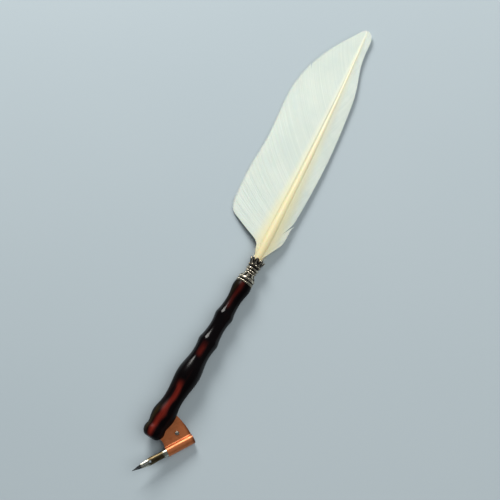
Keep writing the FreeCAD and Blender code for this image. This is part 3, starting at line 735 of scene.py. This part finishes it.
# ---------------------------------------------------------------- feather
def build_shaft(material):
    """The quill and rachis: a tapering, gently bent rod, grooved along its underside."""
    first, last = SHAFT_STATIONS[0][0], SHAFT_STATIONS[-1][0]
    xs = np.linspace(first, last, SHAFT_RINGS)
    centres = shaft_centre(xs)
    along = np.gradient(centres, axis=0)
    along /= np.linalg.norm(along, axis=1)[:, None]
    sideways = np.cross([0.0, 0.0, 1.0], along)
    upwards = np.cross(along, sideways)
    angles = 2 * np.pi * np.arange(SHAFT_AROUND) / SHAFT_AROUND          # 0 is up
    under = np.exp(-((angles - np.pi) / GROOVE_WIDTH) ** 2)
    depth = GROOVE_DEPTH * soft_step(GROOVE_FROM_X, GROOVE_FULL_X, xs)
    window = 2 * SHAFT_SMOOTHING + 1
    padded = np.pad(shaft_radius(xs), SHAFT_SMOOTHING, "edge")
    smoothed = np.convolve(padded, np.ones(window) / window, "valid")
    to_end = np.clip((last - xs) / TIP_ROUNDING, 0, 1)
    rounding = np.sqrt(np.clip(1 - (1 - to_end) ** 2, 0, 1)) * 0.98 + 0.02
    radii = (smoothed * rounding)[:, None] * (1 - depth[:, None] * under)
    sine, cosine = np.sin(angles)[None, :, None], np.cos(angles)[None, :, None]
    ring = sine * sideways[:, None] + cosine * upwards[:, None]
    points = centres[:, None] + radii[..., None] * ring
    shape = Shape()
    shape.add(points, rod_faces(SHAFT_RINGS - 1, SHAFT_AROUND))
    shape.make("feather_quill", material, "quill_horn", replaces=["feather_shaft"])


class Vane:
    """One side of the feather, as the numbers that its barbs are laid by."""

    def __init__(self, name, side, edge, roots, span, edge_height, root_rise, root_reach,
                 barbs, shade, leans, bow, splits):
        self.name = name
        self.side = side                   # 1 for +y and -1 for -y
        self.edge = smooth_line(edge, EDGE_SAMPLES)
        self.roots = roots                 # x of the first and last barb's root
        self.span = span                   # how far out its edge comes down
        self.edge_height = edge_height     # above the table
        self.root_rise = root_rise         # how high its roots stand, in shaft radii
        self.root_reach = root_reach       # how far out that is felt, in shaft radii
        self.barbs = barbs                 # how many
        # shade also carries painted light: the narrow vane is painted lighter and the wide one greyer
        self.shade = shade                 # 0 for whiter and 1 for greyer
        self.leans = leans                 # (x, barb's angle to the shaft in degrees)
        self.bow = bow                     # sideways bend, as a share of the length
        self.splits = splits               # (place from base to tip, opening, how far felt, growth outward)

    def reach(self, root, direction):
        """Distance from a root along a direction to the outline."""
        a, b = self.edge[:-1] - root, np.diff(self.edge, axis=0)
        cross = direction[0] * b[:, 1] - direction[1] * b[:, 0]
        cross = np.where(np.abs(cross) < 1e-9, 1e-9, cross)
        distance = (a[:, 0] * b[:, 1] - a[:, 1] * b[:, 0]) / cross
        share = (a[:, 0] * direction[1] - a[:, 1] * direction[0]) / cross
        hits = distance[(share >= -1e-6) & (share <= 1 + 1e-6) & (distance > 0.05)]
        return float(hits.min()) if len(hits) else SHORTEST_BARB

    def paths(self, rng):
        """Each barb's place from 0 to 1, and its line from the shaft to the outline, as (barb, step, xy)."""
        places = np.linspace(0.0, 1.0, self.barbs)
        xs = self.roots[0] + (self.roots[1] - self.roots[0]) * places
        centres, radii = shaft_centre(xs), shaft_radius(xs)
        slope = SHAFT_SLOPE + 2 * SHAFT_CURVE * (xs - SHAFT_PIVOT_X)
        leans = np.radians(np.interp(xs, *zip(*self.leans)))
        t = np.linspace(0.0, 1.0, BARB_STEPS + 1)[:, None]
        made = []
        for place, x, centre, radius, rise, lean in zip(places, xs, centres, radii, slope, leans):
            angle = math.atan(rise) + self.side * lean
            direction = np.array([math.cos(angle), math.sin(angle)])
            sideways = np.array([-direction[1], direction[0]])
            root = np.array([x, centre[1] + self.side * ROOT_INSET * radius])
            length = self.reach(root, direction)
            length = length * (1 - SHORT_SHARE * rng.random()) - SHORT_LENGTH * rng.random()
            bow = self.bow * min(1.0, 6 * place) * length      # straight at the base, full from a sixth on
            bow = bow * (1 + BOW_VARIATION * rng.standard_normal())
            control = root + direction * length / 2 + self.side * bow * sideways
            end = root + direction * length
            line = (1 - t) ** 2 * root + 2 * t * (1 - t) * control + t ** 2 * end
            made.append(line)
        return places, np.array(made)

    def parted(self, places, paths):
        """Opens the vane's splits, by bending the barbs on each side of one away from it."""
        along = np.gradient(paths, axis=1)
        along /= np.linalg.norm(along, axis=2)[..., None]
        across = self.side * np.stack([-along[..., 1], along[..., 0]], -1)        # towards the base
        t = np.linspace(0.0, 1.0, BARB_STEPS + 1)[None, :, None]
        moved = paths.copy()
        for place, opening, feel, growth in self.splits:
            gap = places - place
            push = -np.sign(gap) * opening * np.exp(-np.abs(gap) / feel)
            moved += push[:, None, None] * t ** growth * across
        return moved


def ribbon_section():
    """A barb's flat section, as (across, up) shares of its half width and thickness."""
    top = [(-1.0, 0.0), (-0.72, 0.5), (0.0, 0.62), (0.72, 0.5), (1.0, 0.0)]
    return np.array(top + [(0.72, -0.5), (-0.72, -0.5)])


def add_values(obj, name, values):
    attribute = obj.data.attributes.new(name, "FLOAT", "POINT")
    attribute.data.foreach_set("value", values.astype(np.float32))


def ripple(x, y):
    """A slight waviness of the whole feather."""
    return 0.12 * np.sin(0.09 * x + 0.14 * y) + 0.03 * np.sin(0.31 * x - 0.2 * y + 1.0)


def barb_points(vane, rng):
    """Every point of a vane's barbs, as (barb, step, round its section, xyz)."""
    places, paths = vane.paths(rng)
    paths = vane.parted(places, paths)
    along = np.gradient(paths, axis=1)
    along /= np.linalg.norm(along, axis=2)[..., None]
    across = np.stack([-along[..., 1], along[..., 0]], -1)
    spacing = np.abs((np.gradient(paths, axis=0) * across).sum(-1))
    spacing = np.minimum(spacing, WIDEST_SPACING * np.median(spacing))
    t = np.linspace(0.0, 1.0, BARB_STEPS + 1)
    taper = np.clip((1 - t) / TIP_TAPER / 2, 0.04, 1.0)
    half = 0.5 * BARB_OVERLAP * np.maximum(spacing, BARB_NARROWEST) * taper
    section = ribbon_section()
    offsets = half[..., None] * section[:, 0]
    points_xy = paths[:, :, None] + offsets[..., None] * across[:, :, None]
    x, y = points_xy[..., 0], points_xy[..., 1]
    lift = BARB_LIFT * rng.standard_normal(len(paths))[:, None, None] * t[None, :, None]
    tilt = vane.side * BARB_TILT * offsets
    z = vane_height(vane, x, y) + ripple(x, y) + lift + tilt + BARB_THICKNESS * section[:, 1]
    return np.stack([x, y, z], -1)


def build_vane(vane, material, replaces):
    """All the barbs of one side, each a closed ribbon."""
    rng = np.random.default_rng(SEED + (vane.side > 0))
    points = barb_points(vane, rng)
    # each vane's painted light (narrow lighter, wide greyer) plus a random shade for each barb
    shades = np.clip(vane.shade + SHADE_VARIATION * rng.standard_normal(len(points)), 0, 1)
    shape, faces = Shape(), rod_faces(BARB_STEPS, points.shape[2])
    for barb, shade in zip(points, shades):
        shape.add(barb, faces, shade)
    obj = shape.make(vane.name, material, "vane_white", replaces=replaces, value_name="shade")
    x, y = points[..., 0], points[..., 1]
    off = np.abs(y - shaft_centre(x)[..., 1]) / shaft_radius(x)
    add_values(obj, "off_shaft", off.ravel())


def build_down(material):
    """Soft, curling down at the foot of the vanes."""
    rng = np.random.default_rng(SEED)
    shape, faces = Shape(), rod_faces(DOWN_STEPS, DOWN_SIDES)
    t = np.linspace(0.0, 1.0, DOWN_STEPS + 1)[:, None]
    for k in range(DOWN_HAIRS):
        side = 1 if k % 2 else -1
        x = DOWN_FROM_X + DOWN_REACH_X * rng.random() ** 1.3
        centre, radius = shaft_centre(x), shaft_radius(x)
        length = (DOWN_LENGTH + DOWN_LONGER * rng.random()) * (0.75 if side < 0 else 1.0)
        lean = math.radians(DOWN_LEAN + DOWN_LEAN_MORE * rng.random())
        turn = side * math.radians(DOWN_CURL * rng.standard_normal())
        start = centre + np.array([0.0, side * radius * 0.9, radius * 0.3 * rng.standard_normal()])
        heading = np.array([math.cos(lean), side * math.sin(lean), 0.18 * rng.standard_normal()])
        curl = np.array([math.cos(lean + turn), side * math.sin(lean + turn), 0.3 * rng.standard_normal()])
        line = start + length * (heading * t + 0.4 * curl * t ** 2) / 1.4
        thin = DOWN_HALF_WIDTH * (1 - 0.75 * t)
        ring = [line + thin * np.array([0.0, math.cos(a), math.sin(a)]) for a in (0.0, 2.09, 4.19)]
        shape.add(np.stack(ring, 1), faces, rng.random())
    obj = shape.make("feather_down", material, "vane_white", value_name="shade")
    add_values(obj, "off_shaft", np.full(len(obj.data.vertices), DOWN_OFF_SHAFT))


# ---------------------------------------------------------------- CAD pieces that stay
def paint(node, material):
    """Puts a material on a CAD node, whose shape and place stay as they are."""
    obj = frame["nodes"][node]
    if not obj.material_slots:
        obj.data.materials.append(material)
    for slot in obj.material_slots:
        slot.material = material


# ---------------------------------------------------------------- stage
def picture_axes():
    """The picture's right and up directions on the floor, and straight up."""
    turn = math.radians(VIEW_TURN)
    right = Vector((math.cos(turn), -math.sin(turn), 0.0))
    up = Vector((math.sin(turn), math.cos(turn), 0.0))
    return right, up, Vector((0.0, 0.0, 1.0))


def build_camera():
    """A long lens over the pen, tilted a little off straight down."""
    right, up, z = picture_axes()
    tilt = math.radians(VIEW_TILT)
    target = Vector(VIEW_TARGET) * MM
    back = -math.sin(tilt) * up + math.cos(tilt) * z
    data = bpy.data.cameras.new("camera")
    data.lens, data.sensor_width = VIEW_LENS, SENSOR
    data.clip_end = 20.0
    data.clip_start = 0.01
    camera = bpy.data.objects.new("camera", data)
    turned = Matrix((right, back.cross(right), back)).transposed()
    camera.matrix_world = Matrix.Translation(target + back * VIEW_DISTANCE * MM) @ turned.to_4x4()
    bpy.context.scene.collection.objects.link(camera)
    bpy.context.scene.camera = camera


def area_light(name, toward, distance, size, power, colour, mirrored=True):
    """A square softbox facing the origin from a direction, seen in reflections only if mirrored."""
    data = bpy.data.lights.new(name, "AREA")
    data.size, data.energy, data.color = size, power, colour
    light = bpy.data.objects.new(name, data)
    light.location = toward.normalized() * distance
    light.rotation_euler = toward.to_track_quat("Z", "Y").to_euler()
    light.visible_glossy = mirrored
    bpy.context.scene.collection.objects.link(light)


def build_stage():
    """Plain pale floor, one window-like key light at the picture's upper left, and soft fill."""
    right, up, z = picture_axes()
    mesh = bpy.data.meshes.new("floor")
    corners = [(FLOOR_REACH * a, FLOOR_REACH * b, 0) for a, b in ((-1, -1), (1, -1), (1, 1), (-1, 1))]
    mesh.from_pydata(corners, [], [(0, 1, 2, 3)])
    mesh.materials.append(floor_paint())
    floor = bpy.data.objects.new("floor", mesh)
    bpy.context.scene.collection.objects.link(floor)
    area_light("key", toward=-0.23 * right + 0.8 * up + 0.56 * z, distance=1.15, size=0.5, power=12.5,
               colour=(1.0, 0.98, 0.95))
    area_light("fill", toward=0.55 * right - 0.1 * up + z, distance=1.6, size=1.6, power=15.0,
               colour=(1.0, 0.99, 0.96), mirrored=False)
    world = bpy.data.worlds.new("studio")
    world.use_nodes = True
    background = world.node_tree.nodes["Background"]
    background.inputs["Color"].default_value = SKY
    background.inputs["Strength"].default_value = SKY_STRENGTH
    bpy.context.scene.world = world
    bpy.context.scene.view_settings.view_transform = "Standard"


# ---------------------------------------------------------------- build
WIDE_VANE = Vane(
    "feather_wide_barbs", side=1, edge=WIDE_EDGE, roots=(113.4, 266.0), span=29.0, edge_height=0.75,
    # shade=0.7 is painted shade: this vane is coloured greyer than the narrow one
    root_rise=0.55, root_reach=1.5, barbs=320, shade=0.7,
    leans=[
        (113.4, 22.0), (118.0, 40.0), (121.0, 66.0), (128.0, 62.0),
        (150.0, 48.0), (190.0, 35.0), (266.0, 22.0),
    ],
    bow=0.07, splits=[(0.575, 0.5, 0.006, 14.0), (0.22, 0.05, 0.01, 5.0)],
)
NARROW_VANE = Vane(
    "feather_narrow_barbs", side=-1, edge=NARROW_EDGE, roots=(114.6, 266.0), span=15.0, edge_height=1.0,
    # shade=0.2 is painted light: this vane is coloured lighter than the wide one
    root_rise=0.72, root_reach=2.2, barbs=300, shade=0.2,
    leans=[(114.6, 26.0), (125.0, 25.0), (150.0, 20.0), (266.0, 17.0)],
    bow=0.09, splits=[(0.078, 0.9, 0.006, 2.5), (0.33, 0.05, 0.01, 4.0)],
)

silver, white = antique_silver(), vane_white()
build_handle(handle_resin())
build_foot_ring(silver)
build_bell_cap(silver)
build_daisy_spacer(silver)
build_collar_ring(silver)
build_crown(silver)
build_shaft(quill_horn())
build_vane(WIDE_VANE, white, ["feather_wide_vane"])
build_vane(NARROW_VANE, white, ["feather_narrow_vane"])
build_down(white)
paint("ferrule_sleeve", sleeve_brass())
paint("flange", copper())
paint("nib", nib_steel())
paint("clamp_screw", small_steel("screw_steel", "#c4bfb2", NIB))
paint("clamp_nut", small_steel("nut_steel", "#b9b2a2", NIB))
build_camera()
build_stage()
